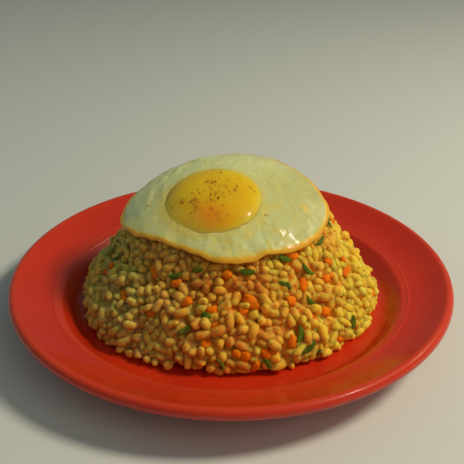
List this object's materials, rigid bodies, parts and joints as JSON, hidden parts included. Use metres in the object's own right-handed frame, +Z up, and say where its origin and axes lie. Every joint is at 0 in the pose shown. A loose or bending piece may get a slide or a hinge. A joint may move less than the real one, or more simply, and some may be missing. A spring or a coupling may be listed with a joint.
{
  "type": "plate of nasi goreng with fried egg",
  "caption": "Rim plate with a pressed heap of fried rice and a sunny-side-up egg laid over its crown; rests flat on its foot ring.",
  "frame": {"origin": "middle of the plate's foot ring, on the plane the plate stands on", "axes": "+Z up out of the plate, -Y towards the side the egg slopes down to, +X to the right seen from there"},
  "size_m": [0.2198, 0.2198, 0.0769],
  "materials": {
    "plate_glaze": "glossy red-orange glaze",
    "fried_rice": "golden fried rice grains, slightly oily",
    "egg_white": "set egg white, moist, browned at its rim",
    "egg_yolk": "soft yellow yolk under a thin film",
    "carrot": "soft cooked carrot",
    "green_slices": "dark green cooked slices, moist",
    "pepper": "red-brown ground pepper"
  },
  "bodies": {
    "root": {"plate": "plate_glaze", "rice_heap": "fried_rice", "egg_white": "egg_white", "egg_yolk": "egg_yolk"}
  },
  "joints": []
}
